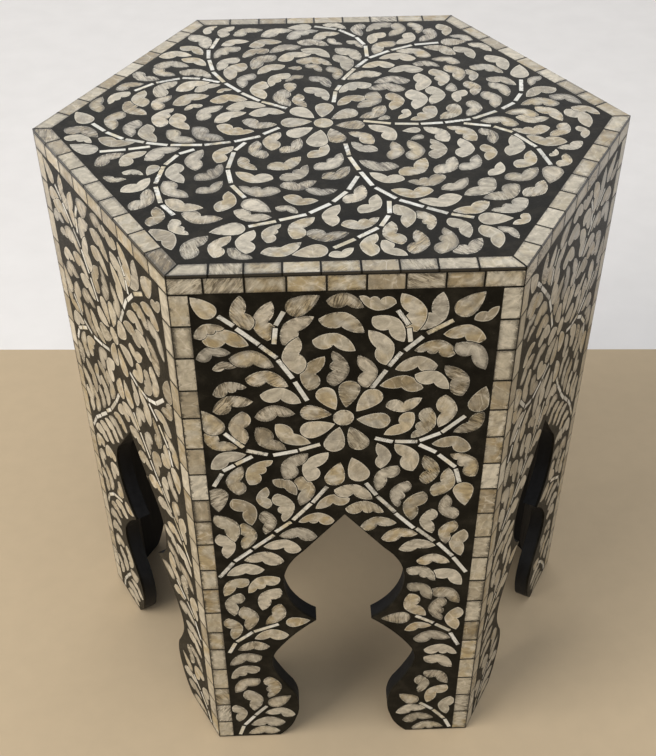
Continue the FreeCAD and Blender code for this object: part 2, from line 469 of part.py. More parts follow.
class Drawing:
    """The flower, stems and leaves of one face, each piece cut back from those laid before it."""

    def __init__(self, point, field, disc_shares, petals, stems, buds, left_leaves, right_leaves):
        self.point = point
        self.laid = []
        radius = (point(DISC_RADIUS_SHARE, 0) - point(0, 0)).Length
        flower = [disc(point(*disc_shares), radius)]
        flower += [bud(*self.ends(row)) for row in petals]
        self.flower = self.lay(flower, field)
        self.stems = self.lay([strip(*self.ends(row)) for row in stems], field)
        growth = [bud(*self.ends(row)) for row in buds]
        growth += leaves([self.ends(row) for row in left_leaves], 1)
        growth += leaves([self.ends(row) for row in right_leaves], -1)
        self.leaves = self.lay(growth, field)

    def ends(self, row):
        return self.point(*row[:2]), self.point(*row[2:])

    def lay(self, pieces, field):
        for piece in pieces:
            for other in self.laid:
                piece.trim(other)
            self.laid.append(piece)
        whole = Part.makeCompound([piece.face for piece in pieces])
        return whole.common(field).Faces


def arch_face():
    """The opening in a panel, drawn from its apex down to the floor on both sides."""
    sides = []
    for mirror in (1, -1):
        def place(shares):
            return panel_point(shares[0] * mirror, shares[1])

        start = place(ARCH_SHOULDER_SHARES)
        edges = [Part.makeLine(place(ARCH_APEX_SHARES), start)]
        for middle, end in ARCH_ARC_SHARES:
            edges.append(arc(start, place(middle), place(end)))
            start = place(end)
        sides.append((edges, start))
    (left_edges, left_foot), (right_edges, right_foot) = sides
    foot_line = Part.makeLine(left_foot, right_foot)
    return Part.Face(Part.Wire(left_edges + [foot_line] + right_edges[::-1]))


def rectangle(left, right, low, high):
    return Part.Face(polygon([flat(left, low), flat(right, low), flat(right, high), flat(left, high)]))


def spans(marks):
    """Stretches between neighbouring marks, with half a joint taken off at each inner mark."""
    half_gap = tile_gap / 2
    starts = [marks[0]] + [mark + half_gap for mark in marks[1:-1]]
    ends = [mark - half_gap for mark in marks[1:-1]] + [marks[-1]]
    return list(zip(starts, ends))


def panel_tile(left, right, low, high):
    """One border tile, mitred where it reaches the panel's edge."""
    back_edge = column_edge - skin_thickness * MITRE
    section = polygon([
        FreeCAD.Vector(left, low, skin_thickness),
        FreeCAD.Vector(right, low, skin_thickness),
        FreeCAD.Vector(min(right, back_edge), low, 0),
        FreeCAD.Vector(max(left, -back_edge), low, 0),
    ])
    return Part.Face(section).extrude(FreeCAD.Vector(0, high - low, 0))


def panel_tiles():
    """A row of tiles along the head of a panel and a column down each side."""
    row_spans = spans([share * column_edge for share in PANEL_ROW_SHARES])
    tiles = [panel_tile(left, right, row_edge - row_width, row_edge) for left, right in row_spans]
    columns = (
        (-column_edge, column_width - column_edge, PANEL_LEFT_JOINT_SHARES),
        (column_edge - column_width, column_edge, PANEL_RIGHT_JOINT_SHARES),
    )
    for left, right, joint_shares in columns:
        joints = [panel_point(0, share).y for share in joint_shares]
        marks = [2 * skin_lift] + joints + [field_head]
        tiles += [panel_tile(left, right, low, high) for low, high in spans(marks)]
    return tiles


def top_tiles():
    """A row of tiles along each edge of the top, mitred where two rows meet."""
    inner = apothem - row_width
    mitre_gap = tile_gap / 2 / math.cos(math.radians(PANEL_TURN / 2))
    outer_end = apothem * MITRE - mitre_gap
    inner_end = inner * MITRE - mitre_gap
    inner_spans = spans([share * inner_end for share in TOP_ROW_SHARES])
    outer_spans = list(inner_spans)
    outer_spans[0] = (-outer_end, inner_spans[0][1])
    outer_spans[-1] = (inner_spans[-1][0], outer_end)
    row = []
    for (left, right), (outer_left, outer_right) in zip(inner_spans, outer_spans):
        inner_corners = [flat(right, -inner), flat(left, -inner)]
        outer_corners = [flat(outer_left, -apothem), flat(outer_right, -apothem)]
        row.append(Part.Face(polygon(outer_corners + inner_corners)))
    return [turned(tile, step) for step in range(len(PANEL_NAMES)) for tile in row]


def turned(shape, step):
    """A copy of a shape turned about the table's middle by whole panels."""
    copy = shape.copy()
    copy.rotate(ORIGIN, UP, PANEL_TURN * step)
    return copy


def raised(faces):
    return [face.extrude(UP * skin_thickness) for face in faces]


def stood_up(shape):
    """Stand a skin that was drawn flat against the front board, outer face to the front."""
    copy = shape.copy()
    copy.rotate(ORIGIN, FreeCAD.Vector(1, 0, 0), 90)
    copy.translate(FreeCAD.Vector(0, -board_face, 0))
    return copy


def panel_resin(pieces, tiles, arch):
    """The panel's resin: all of the skin that the pieces and tiles leave, mitred at both edges."""
    half = side_length / 2
    whole = rectangle(-half, half, skin_lift, skin_top)
    resin = whole.cut(Part.makeCompound(pieces + [arch])).Faces[0].extrude(UP * skin_thickness)
    low = skin_lift - cut_overrun
    run = FreeCAD.Vector(0, skin_top - skin_lift + 2 * cut_overrun, 0)
    wedges = []
    for side in (1, -1):
        edge = FreeCAD.Vector(side * half, low, skin_thickness)
        foot = FreeCAD.Vector(side * (half - skin_thickness * MITRE), low, 0)
        outside = FreeCAD.Vector(side * (half + cut_overrun), low, 0)
        above = outside + UP * skin_thickness
        wedges.append(Part.Face(polygon([edge, foot, outside, above])).extrude(run))
    return resin.cut(wedges + tiles)


def panel_board(arch):
    """One mitred side board with the arch cut through it, at the front."""
    corners = [
        flat(-board_face * MITRE, -board_face),
        flat(board_face * MITRE, -board_face),
        flat(board_back * MITRE, -board_back),
        flat(-board_back * MITRE, -board_back),
    ]
    board = Part.Face(polygon(corners)).extrude(UP * board_head)
    opening = arch.extrude(UP * (board_thickness + 2 * cut_overrun))
    opening.translate(UP * -(board_thickness + cut_overrun))
    return board.cut(stood_up(opening))


def corner_block():
    """A three-sided glue block in the corner at the left end of the front board."""
    corner = flat(-board_back * MITRE, -board_back)
    along_front = flat(block_leg, 0)
    along_side = FreeCAD.Rotation(UP, 180 - PANEL_TURN).multVec(along_front)
    section = polygon([corner, corner + along_front, corner + along_side])
    block = Part.Face(section).extrude(UP * (board_head - block_lift))
    block.translate(UP * block_lift)
    return block


def screw(length):
    """A pan head screw that points up from its bearing face."""
    shank = Part.makeCylinder(screw_diameter / 2, length, ORIGIN, UP)
    head = Part.makeCylinder(screw_head_diameter / 2, screw_head_height, ORIGIN, UP * -1)
    return shank.fuse(head).removeSplitter()


def screw_hole(length):
    return Part.makeCylinder(screw_diameter / 2 + screw_clearance, length + screw_clearance, ORIGIN, UP)


def top_screw_places(shape):
    """Copies of a shape at the screws that rise through the front cleat into the top board."""
    places = []
    middle = cleat_width / 2 - board_back
    for share in TOP_SCREW_SHARES:
        copy = shape.copy()
        copy.translate(FreeCAD.Vector(share * cleat_half, middle, board_head - cleat_height))
        places.append(copy)
    return places


def panel_screw_places(shape):
    """Copies of a shape at the screws that run through the front cleat into the front board."""
    places = []
    middle = board_head - cleat_height / 2
    for share in PANEL_SCREW_SHARES:
        copy = shape.copy()
        copy.rotate(ORIGIN, FreeCAD.Vector(1, 0, 0), 90)
        copy.translate(FreeCAD.Vector(share * cleat_half, cleat_width - board_back, middle))
        places.append(copy)
    return places


def save(name, solids):
    shape = Part.makeCompound(solids) if len(solids) > 1 else solids[0]
    shape.exportStep("parts/" + name + ".step")


def build_frame(arch):
    """Boards, glue blocks, cleats and screws."""
    top_screw_length = cleat_height + screw_bite
    panel_screw_length = cleat_width + screw_bite
    top_holes = top_screw_places(screw_hole(top_screw_length))
    panel_holes = panel_screw_places(screw_hole(panel_screw_length))
    cleat = Part.makeBox(2 * cleat_half, cleat_width, cleat_height)
    cleat.translate(FreeCAD.Vector(-cleat_half, -board_back, board_head - cleat_height))
    cleat = cleat.cut(top_holes + panel_holes)
    board = panel_board(arch).cut(panel_holes)
    block = corner_block()
    top_screws = []
    panel_screws = []
    top_cuts = []
    for step, name in enumerate(PANEL_NAMES):
        save(name + "_panel", [turned(board, step)])
        save(name + "_cleat", [turned(cleat, step)])
        save(name + "_block", [turned(block, step)])
        top_screws += [turned(one, step) for one in top_screw_places(screw(top_screw_length))]
        panel_screws += [turned(one, step) for one in panel_screw_places(screw(panel_screw_length))]
        top_cuts += [turned(hole, step) for hole in top_holes]
    save("top_screws", top_screws)
    save("panel_screws", panel_screws)
    top_board = hexagon_face(board_face, board_head).extrude(UP * top_board_thickness)
    save("top_board", [top_board.cut(top_cuts)])


def build_panel_skins(arch):
    """The six side skins, all with the same drawing."""
    ground = rectangle(-field_half, field_half, 2 * skin_lift, field_head)
    moves = [flat(-arch_line, 0), flat(arch_line, 0), flat(0, arch_line)]
    arches = []
    for move in moves:
        copy = arch.copy()
        copy.translate(move)
        arches.append(copy)
    field = ground.cut(arches).Faces[0]
    drawing = Drawing(panel_point, field, PANEL_DISC_SHARES, PANEL_PETAL_SHARES, PANEL_STEM_SHARES,
                      PANEL_BUD_SHARES, PANEL_LEFT_LEAF_SHARES, PANEL_RIGHT_LEAF_SHARES)
    tiles = panel_tiles()
    pieces = drawing.flower + drawing.stems + drawing.leaves
    groups = {
        "flower": raised(drawing.flower),
        "stems": raised(drawing.stems),
        "leaves": raised(drawing.leaves),
        "tiles": tiles,
        "resin": panel_resin(pieces, tiles, arch).Solids,
    }
    for group, solids in groups.items():
        upright = [stood_up(solid) for solid in solids]
        for step, name in enumerate(PANEL_NAMES):
            save(name + "_" + group, [turned(solid, step) for solid in upright])


def build_top_skin():
    """The skin of the top, with its own drawing inside a ring of tiles."""
    ground = hexagon_face(apothem, 0)
    field = hexagon_face(field_apothem, 0)
    drawing = Drawing(top_point, field, TOP_DISC_SHARES, TOP_PETAL_SHARES, TOP_STEM_SHARES,
                      TOP_BUD_SHARES, TOP_LEFT_LEAF_SHARES, TOP_RIGHT_LEAF_SHARES)
    tiles = top_tiles()
    pieces = drawing.flower + drawing.stems + drawing.leaves + tiles
    resin = ground.cut(Part.makeCompound(pieces)).Faces
    groups = {
        "flower": drawing.flower,
        "stems": drawing.stems,
        "leaves": drawing.leaves,
        "tiles": tiles,
        "resin": resin,
    }
    for group, faces in groups.items():
        solids = raised(faces)
        for solid in solids:
            solid.translate(UP * skin_top)
        save("top_" + group, solids)


def build():
    os.makedirs("parts", exist_ok=True)
    arch = arch_face()
    build_frame(arch)
    build_panel_skins(arch)
    build_top_skin()


build()
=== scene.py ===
"""Looks of the hexagonal inlaid side table: materials, softened edges, floor, light and camera."""

import math
from collections import namedtuple

import bpy
from mathutils import Matrix, Vector

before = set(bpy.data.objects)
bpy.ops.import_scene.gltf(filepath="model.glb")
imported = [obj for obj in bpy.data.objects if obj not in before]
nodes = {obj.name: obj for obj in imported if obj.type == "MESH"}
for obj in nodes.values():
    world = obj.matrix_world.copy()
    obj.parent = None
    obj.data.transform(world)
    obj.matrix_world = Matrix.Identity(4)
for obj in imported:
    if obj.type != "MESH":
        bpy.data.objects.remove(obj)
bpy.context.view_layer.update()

PANELS = ("front", "front_right", "back_right", "back", "back_left", "front_left")
FACES = ("top",) + PANELS
SIXTH_TURN = math.radians(60)
TOP_AXES = ((0, 0, 1),)
PANEL_AXES = tuple((math.sin(SIXTH_TURN * step), math.cos(SIXTH_TURN * step), 0) for step in range(3))
FACE_AXES = TOP_AXES + PANEL_AXES

# Softened edges, in metres
PIECE_EDGE = 0.00028
TILE_EDGE = 0.0004
RESIN_EDGE = 0.00015
BOARD_EDGE = 0.0006
WELD_REACH = 0.00001
EDGE_ANGLE = math.radians(35)
EDGE_STEPS = 2
FLAT_WEIGHT = 100

# Textures, with scales in features per metre and bump distances in metres
Noise = namedtuple("Noise", "scale detail roughness distortion", defaults=(0.5, 0.0))
Bands = namedtuple("Bands", "scale distortion detail detail_scale")
Cracks = namedtuple("Cracks", "scale width")
Bump = namedtuple("Bump", "strength distance")
NOISE_SPAN = (0.3, 0.7)
RISE = (0.0, 1.0)
FALL = (1.0, 0.0)
RAMP_MIDDLE = 0.5

# Shell: textures, turned and shifted for each piece
RINGS = Bands(scale=55.0, distortion=7.0, detail=3.0, detail_scale=1.2)
CLOUDS = Noise(scale=190.0, detail=4.0, roughness=0.62, distortion=0.8)
FLECKS = Noise(scale=800.0, detail=3.0, roughness=0.6)
HONEY = Noise(scale=110.0, detail=2.0)
THREADS = Noise(scale=820.0, detail=4.0, roughness=0.65, distortion=1.2)
CHIPS = Noise(scale=330.0, detail=4.0, roughness=0.65)
PALE_LINES = Cracks(scale=130.0, width=0.05)
FIBRE_STRETCH = (1.0, 0.6, 1.0)
THREAD_STRETCH = (1.0, 0.13, 1.0)
DICE_MIDDLE = (0.5, 0.5, 0.5)
GRAIN_SHIFT = (4.0, 4.0, 4.0)

# Shell: tones and where they show. A chance is a span of a piece's own random number
FLECK_DEPTH = 0.1
GOLD_CHANCE = (0.2, 0.9)
HONEY_SPAN = (0.42, 0.6)
HONEY_TINT = (0.80, 0.70, 0.50)
LINE_SPAN = (0.42, 0.6)
LINE_COVER = (0.0, 0.6)
LINE_TONE = (0.66, 0.60, 0.50)
STAIN_CHANCE = (0.72, 0.92)
STREAK_SPAN = (0.46, 0.57)
STREAK_PATCH_SPAN = (0.4, 0.6)
STREAK_PATCH_COVER = (1.0, 0.35)
STREAK_TONE = (0.055, 0.04, 0.022)
SHELL_ROUGHNESS = (0.28, 0.42)
SHELL_COAT = 0.15
SHELL_COAT_ROUGHNESS = 0.2
SHELL_BUMP = Bump(strength=0.1, distance=0.0002)

# Shell: rims, chips and frayed ends at a piece's outline. A reach is in metres
RIM_REACH = 0.0012
CHIP_REACH = 0.004
NEAR_SAMPLES = 4
NEAR_SPAN = (0.76, 1.0)
FLAT_SPAN = (0.96, 0.99)
WEAR_CHANCE = (0.3, 1.0)
CHIP_DEPTH = 1.5
CHIP_LIMIT = 0.5
CHIP_SPAN = (0.64, 0.7)
CHIP_COVER = (0.0, 0.95)
CHIP_TONE = (0.010, 0.0085, 0.006)
FRAY_CHANCE = (0.7, 0.95)
FRAY_SPAN = (0.4, 0.6)
FRAY_DEPTHS = (-0.6, 0.9)
FRAY_LEAST = -1.5
FRAY_HOLD = 1.0

# Shell: the look of each kind of piece
Rim = namedtuple("Rim", "tone glow span wander axes")
Look = namedtuple("Look", "tones mottle growth stain rim wear")
LEAF_TONES = (
    (0.0, (0.27, 0.235, 0.175)), (0.15, (0.40, 0.36, 0.28)), (0.4, (0.47, 0.425, 0.34)),
    (0.65, (0.42, 0.37, 0.285)), (0.85, (0.36, 0.33, 0.27)), (1.0, (0.52, 0.465, 0.37)),
)
TILE_TONES = (
    (0.0, (0.25, 0.205, 0.135)), (0.25, (0.42, 0.37, 0.28)), (0.6, (0.48, 0.435, 0.345)),
    (0.8, (0.38, 0.33, 0.24)), (1.0, (0.58, 0.53, 0.43)),
)
STEM_TONES = (
    (0.0, (0.40, 0.39, 0.35)), (0.25, (0.63, 0.62, 0.57)), (0.6, (0.74, 0.73, 0.68)),
    (1.0, (0.67, 0.66, 0.62)),
)
LEAF_RIM = Rim(tone=(0.78, 0.735, 0.63), glow=0.85, span=(0.15, 0.65), wander=0.0, axes=FACE_AXES)
STEM_RIM = LEAF_RIM._replace(glow=0.2)
TILE_RIM = Rim(tone=(0.012, 0.010, 0.007), glow=0.92, span=(0.5, 0.64), wander=0.4, axes=FACE_AXES)
TOP_TILE_RIM = TILE_RIM._replace(axes=TOP_AXES)
LEAF_LOOK = Look(LEAF_TONES, mottle=0.32, growth=0.07, stain=0.95, rim=LEAF_RIM, wear=(-1.5, 0.6))
PETAL_LOOK = LEAF_LOOK._replace(stain=0.6, wear=(-1.5, 0.2))
TILE_LOOK = Look(TILE_TONES, mottle=0.28, growth=0.05, stain=0.9, rim=TILE_RIM, wear=(-0.7, 1.1))
TOP_TILE_LOOK = TILE_LOOK._replace(rim=TOP_TILE_RIM)
STEM_LOOK = Look(STEM_TONES, mottle=0.10, growth=0.04, stain=0.1, rim=STEM_RIM, wear=(-1.5, -0.4))

# Resin
RESIN_CLOUDS = Noise(scale=70.0, detail=5.0, roughness=0.66)
RESIN_TONES = (
    (0.34, (0.0035, 0.003, 0.0018)), (0.5, (0.0075, 0.0065, 0.0042)), (0.68, (0.021, 0.018, 0.0125)),
)
RESIN_SPECKS = Noise(scale=700.0, detail=3.0, roughness=0.6)
SPECK_SPAN = (0.62, 0.75)
SPECK_COVER = (0.0, 0.4)
SPECK_TONE = (0.05, 0.043, 0.03)
RESIN_ROUGHNESS = (0.38, 0.54)
RESIN_SHINE = 0.1
RESIN_BUMP = Bump(strength=0.15, distance=0.0003)

# Paint on the boards and the rough timber, and screw steel
BRUSH = Noise(scale=260.0, detail=4.0, roughness=0.6)
BRUSH_STRETCH = (1.0, 1.0, 0.1)
BOARD_TONES = ((0.3, (0.003, 0.003, 0.0035)), (0.8, (0.012, 0.012, 0.013)))
TIMBER_TONES = ((0.3, (0.008, 0.007, 0.006)), (0.8, (0.03, 0.027, 0.024)))
PAINT_ROUGHNESS = (0.5, 0.7)
PAINT_SHINE = 0.2
PAINT_BUMP = Bump(strength=0.2, distance=0.0004)
MARKS = Noise(scale=900.0, detail=3.0)
MARK_STRETCH = (1.0, 1.0, 6.0)
STEEL_TONES = ((0.3, (0.38, 0.38, 0.37)), (0.7, (0.55, 0.55, 0.53)))
STEEL_ROUGHNESS = (0.28, 0.45)

# Stage, in metres: a pale floor, and behind its slanted back edge a white one
STAGE_REACH = 4.0
FLOOR_BACK = 0.323
FLOOR_SLANT = 0.042
FLOOR_TONE = (0.54, 0.425, 0.282)
FLOOR_GRAIN = Noise(scale=60.0, detail=3.0)
FLOOR_BUMP = Bump(strength=0.1, distance=0.001)
PAPER_TONE = (0.87, 0.85, 0.84)
PAPER_GRAIN = Noise(scale=20.0, detail=3.0)
PAPER_BUMP = Bump(strength=0.05, distance=0.001)
GRAIN_DARK_SHARE = 0.96
STAGE_ROUGHNESS = 0.85

# Light: places and sizes in metres, power in watts
Lamp = namedtuple("Lamp", "name place size power colour")
LAMPS = (
    Lamp("ceiling_light", (0.2, -0.3, 2.5), (2.4, 2.4), 20.0, (0.98, 0.99, 1.0)),
    Lamp("window_left", (-2.9, -1.45, 2.2), (2.6, 2.3), 122.0, (1.0, 0.96, 0.89)),
    Lamp("room_right", (1.3, -2.2, 1.3), (1.6, 1.6), 10.0, (0.92, 0.97, 1.0)),
    Lamp("room_back", (0.0, 2.4, 1.7), (2.6, 2.2), 12.0, (1.0, 0.99, 0.98)),
)
LAMP_TARGET = Vector((0, 0, 0.3))
ROOM_COLOUR = (0.99, 0.99, 1.0)
ROOM_LIGHT = 0.31
ROOM_SEEN = 0.72

# Camera, from the photograph's corners: place and clip in metres, lens and sensor in millimetres
CAMERA_PLACE = Vector((-0.0280, -0.6826, 0.8130))
CAMERA_AHEAD = Vector((0.026, 0.761, -0.648))
CAMERA_RIGHT = Vector((0.999, -0.038, -0.004))
CAMERA_LENS = 53.6
CAMERA_SENSOR = 36.0
CAMERA_CLIP = 0.01


class Tree:
    """A material's node tree, with short calls to add and join nodes."""

    def __init__(self, name):
        self.material = bpy.data.materials.new(name)
        self.material.use_nodes = True
        self.nodes = self.material.node_tree.nodes
        self.links = self.material.node_tree.links
        self.shader = self.nodes["Principled BSDF"]

    def join(self, source, target):
        self.links.new(source, target)

    def add(self, kind, **settings):
        node = self.nodes.new("ShaderNode" + kind)
        for key, value in settings.items():
            setattr(node, key, value)
        return node

    def fill(self, socket, value):
        """Join an output to a socket, or give the socket a number, a vector or a colour without alpha."""
        if isinstance(value, bpy.types.NodeSocket):
            self.join(value, socket)
        elif socket.type == "RGBA":
            socket.default_value = (*value, 1)
        else:
            socket.default_value = value

    def surface(self, name, value):
        self.fill(self.shader.inputs[name], value)

    def place(self):
        return self.add("TexCoord").outputs["Object"]

    def math(self, operation, *values):
        node = self.add("Math", operation=operation)
        for socket, value in zip(node.inputs, values):
            self.fill(socket, value)
        return node.outputs[0]

    def vector(self, operation, *values):
        node = self.add("VectorMath", operation=operation)
        sockets = [s for s in node.inputs if s.enabled]
        for socket, value in zip(sockets, values):
            self.fill(socket, value)
        return node.outputs["Value" if operation == "DOT_PRODUCT" else "Vector"]

    def spread(self, value, span, result):
        """Carry a value from one span over to another, held within its ends."""
        node = self.add("MapRange")
        for socket, number in zip(node.inputs, (value, *span, *result)):
            self.fill(socket, number)
        return node.outputs["Result"]

    def sway(self, value, depth):
        """Carry a noise value over to the span from minus the depth to the depth."""
        return self.spread(value, NOISE_SPAN, (-depth, depth))

    def ramp(self, value, stops):
        node = self.add("ValToRGB")
        self.join(value, node.inputs["Fac"])
        marks = node.color_ramp.elements
        while len(marks) < len(stops):
            marks.new(RAMP_MIDDLE)
        for mark, (position, colour) in zip(marks, stops):
            mark.position = position
            mark.color = (*colour, 1)
        return node.outputs["Color"]

    def mix(self, blend, factor, first, second):
        node = self.add("Mix", data_type="RGBA", blend_type=blend)
        self.fill(node.inputs["Factor"], factor)
        colours = [s for s in node.inputs if s.type == "RGBA"]
        self.fill(colours[0], first)
        self.fill(colours[1], second)
        return [s for s in node.outputs if s.type == "RGBA"][0]

    def grey(self, value):
        node = self.add("CombineColor")
        for socket in node.inputs:
            self.join(value, socket)
        return node.outputs["Color"]

    def noise(self, place, texture):
        node = self.add("TexNoise")
        self.join(place, node.inputs["Vector"])
        for name, value in zip(("Scale", "Detail", "Roughness", "Distortion"), texture):
            node.inputs[name].default_value = value
        return node.outputs["Fac"]

    def bands(self, place, texture):
        node = self.add("TexWave", wave_type="BANDS", bands_direction="X")
        self.join(place, node.inputs["Vector"])
        for name, value in zip(("Scale", "Distortion", "Detail", "Detail Scale"), texture):
            node.inputs[name].default_value = value
        return node.outputs["Fac"]

    def cracks(self, place, texture):
        """One on thin wandering lines, zero elsewhere."""
        node = self.add("TexVoronoi", feature="DISTANCE_TO_EDGE")
        self.join(place, node.inputs["Vector"])
        node.inputs["Scale"].default_value = texture.scale
        return self.spread(node.outputs["Distance"], (0.0, texture.width), FALL)

    def bump(self, height, relief):
        node = self.add("Bump")
        node.inputs["Strength"].default_value = relief.strength
        node.inputs["Distance"].default_value = relief.distance
        self.join(height, node.inputs["Height"])
        self.surface("Normal", node.outputs["Normal"])


class Shell(Tree):
    """Polished shell: each piece has its own tone, growth lines, staining, rim and chipped edge."""

    def __init__(self, name, look):
        super().__init__(name)
        self.look = look
        geometry = self.add("NewGeometry")
        self.normal = geometry.outputs["True Normal"]
        self.chance = geometry.outputs["Random Per Island"]
        dice = self.add("TexWhiteNoise", noise_dimensions="1D")
        self.join(self.chance, dice.inputs["W"])
        self.dice = dice.outputs["Color"]
        split = self.add("SeparateColor")
        self.join(self.dice, split.inputs["Color"])
        self.gold_chance, self.stain_chance, self.wear_chance = split.outputs

        self.own_place = self.grain_place()
        self.fibre_place = self.vector("MULTIPLY", self.own_place, FIBRE_STRETCH)
        thread_place = self.vector("MULTIPLY", self.own_place, THREAD_STRETCH)
        self.rings = self.bands(self.fibre_place, RINGS)
        self.clouds = self.noise(self.fibre_place, CLOUDS)
        self.honey = self.noise(self.own_place, HONEY)
        self.threads = self.noise(thread_place, THREADS)

    def grain_place(self):
        """A place in the face, turned and shifted for each loose piece."""
        aim = self.vector("SUBTRACT", self.dice, DICE_MIDDLE)
        across = self.vector("NORMALIZE", self.vector("CROSS_PRODUCT", self.normal, aim))
        along = self.vector("CROSS_PRODUCT", self.normal, across)
        turned = self.add("CombineXYZ")
        self.join(self.vector("DOT_PRODUCT", self.place(), across), turned.inputs["X"])
        self.join(self.vector("DOT_PRODUCT", self.place(), along), turned.inputs["Y"])
        shift = self.vector("MULTIPLY", self.dice, GRAIN_SHIFT)
        return self.vector("ADD", turned.outputs["Vector"], shift)

    def nearness(self, reach):
        """One along the edges of a piece, falling to zero at the given reach from them."""
        round_edge = self.add("Bevel", samples=NEAR_SAMPLES)
        round_edge.inputs["Radius"].default_value = reach
        facing = self.vector("DOT_PRODUCT", round_edge.outputs["Normal"], self.normal)
        return self.spread(facing, NEAR_SPAN, FALL)

    def tilt(self, axes):
        """One on a softened edge, zero on the flats that face along one of the axes."""
        flat = 0.0
        for axis in axes:
            facing = self.math("ABSOLUTE", self.vector("DOT_PRODUCT", self.normal, axis))
            flat = self.math("MAXIMUM", facing, flat)
        return self.spread(flat, FLAT_SPAN, FALL)

    def toned(self):
        """The piece's own tone, with growth lines, mottling and flecks."""
        growth = self.look.growth
        shade = self.spread(self.rings, RISE, (-growth, growth))
        shade = self.math("ADD", shade, self.sway(self.clouds, self.look.mottle))
        shade = self.math("ADD", shade, self.sway(self.noise(self.own_place, FLECKS), FLECK_DEPTH))
        tone = self.ramp(self.chance, self.look.tones)
        return self.mix("MULTIPLY", 1.0, tone, self.grey(self.math("ADD", shade, 1.0)))

    def honeyed(self, colour):
        """Golden patches, stronger on some pieces."""
        golden = self.spread(self.gold_chance, GOLD_CHANCE, RISE)
        golden = self.math("MULTIPLY", golden, self.spread(self.honey, HONEY_SPAN, FALL))
        return self.mix("MULTIPLY", golden, colour, HONEY_TINT)

    def lined(self, colour):
        """Thin pale lines, where the mottling is light."""
        lines = self.cracks(self.fibre_place, PALE_LINES)
        lines = self.math("MULTIPLY", lines, self.spread(self.clouds, LINE_SPAN, LINE_COVER))
        return self.mix("MIX", lines, colour, LINE_TONE)

    def streaked(self, colour):
        """Dark streaks along the grain of the stained pieces, strongest in the golden patches."""
        streaks = self.spread(self.threads, STREAK_SPAN, RISE)
        patches = self.spread(self.honey, STREAK_PATCH_SPAN, STREAK_PATCH_COVER)
        stained = self.spread(self.stain_chance, STAIN_CHANCE, (0.0, self.look.stain))
        streaks = self.math("MULTIPLY", self.math("MULTIPLY", streaks, patches), stained)
        return self.mix("MIX", streaks, colour, STREAK_TONE)

    def rimmed(self, colour):
        """A rim inside the piece's outline, and the same tone on its softened edge."""
        rim = self.look.rim
        glow = self.math("ADD", self.nearness(RIM_REACH), self.sway(self.clouds, rim.wander))
        colour = self.mix("MIX", self.spread(glow, rim.span, (0.0, rim.glow)), colour, rim.tone)
        return self.mix("MIX", self.tilt(rim.axes), colour, rim.tone)

    def chipped(self, colour):
        """Dark chips in the piece's outline, and frayed ends on the stained pieces."""
        bite = self.sway(self.noise(self.fibre_place, CHIPS), CHIP_DEPTH)
        bite = self.math("ADD", bite, self.spread(self.wear_chance, WEAR_CHANCE, self.look.wear))
        fray = self.spread(self.threads, FRAY_SPAN, FRAY_DEPTHS)
        fray_range = (FRAY_LEAST, self.look.stain - FRAY_HOLD)
        fray = self.math("ADD", fray, self.spread(self.stain_chance, FRAY_CHANCE, fray_range))
        bite = self.math("MINIMUM", self.math("MAXIMUM", bite, fray), CHIP_LIMIT)
        depth = self.math("ADD", self.nearness(CHIP_REACH), bite)
        return self.mix("MIX", self.spread(depth, CHIP_SPAN, CHIP_COVER), colour, CHIP_TONE)


def shell(name, look):
    """A shell material, with its colour built up layer by layer."""
    tree = Shell(name, look)
    colour = tree.lined(tree.honeyed(tree.toned()))
    colour = tree.chipped(tree.rimmed(tree.streaked(colour)))
    tree.surface("Base Color", colour)
    tree.surface("Roughness", tree.spread(tree.clouds, NOISE_SPAN, SHELL_ROUGHNESS))
    tree.surface("Coat Weight", SHELL_COAT)
    tree.surface("Coat Roughness", SHELL_COAT_ROUGHNESS)
    tree.bump(tree.rings, SHELL_BUMP)
    return tree.material


def resin():
    """Dark filler between the pieces, a little cloudy and with fine pale specks."""
    tree = Tree("resin")
    place = tree.place()
    clouds = tree.ramp(tree.noise(place, RESIN_CLOUDS), RESIN_TONES)
    specks = tree.noise(place, RESIN_SPECKS)
    colour = tree.mix("MIX", tree.spread(specks, SPECK_SPAN, SPECK_COVER), clouds, SPECK_TONE)
    tree.surface("Base Color", colour)
    tree.surface("Roughness", tree.spread(specks, NOISE_SPAN, RESIN_ROUGHNESS))
    tree.surface("Specular IOR Level", RESIN_SHINE)
    tree.bump(specks, RESIN_BUMP)
    return tree.material


def paint(name, tones):
    """Brushed black paint on board or rough wood."""
    tree = Tree(name)
    brush = tree.noise(tree.vector("MULTIPLY", tree.place(), BRUSH_STRETCH), BRUSH)
    tree.surface("Base Color", tree.ramp(brush, tones))
    tree.surface("Roughness", tree.spread(brush, NOISE_SPAN, PAINT_ROUGHNESS))
    tree.surface("Specular IOR Level", PAINT_SHINE)
    tree.bump(brush, PAINT_BUMP)
    return tree.material


def steel():
    """Zinc-plated screw steel with fine turning marks."""
    tree = Tree("screw_steel")
    place = tree.add("NewGeometry").outputs["Position"]
    marks = tree.noise(tree.vector("MULTIPLY", place, MARK_STRETCH), MARKS)
    tree.surface("Base Color", tree.ramp(marks, STEEL_TONES))
    tree.surface("Roughness", tree.spread(marks, NOISE_SPAN, STEEL_ROUGHNESS))
    tree.surface("Metallic", 1.0)
    return tree.material


def plain(name, colour, texture, relief):
    """Stage surface: an even pale colour with a slight grain."""
    tree = Tree(name)
    grain = tree.noise(tree.add("NewGeometry").outputs["Position"], texture)
    dark = tuple(part * GRAIN_DARK_SHARE for part in colour)
    low, high = NOISE_SPAN
    tree.surface("Base Color", tree.ramp(grain, ((low, dark), (high, colour))))
    tree.surface("Roughness", STAGE_ROUGHNESS)
    tree.bump(grain, relief)
    return tree.material


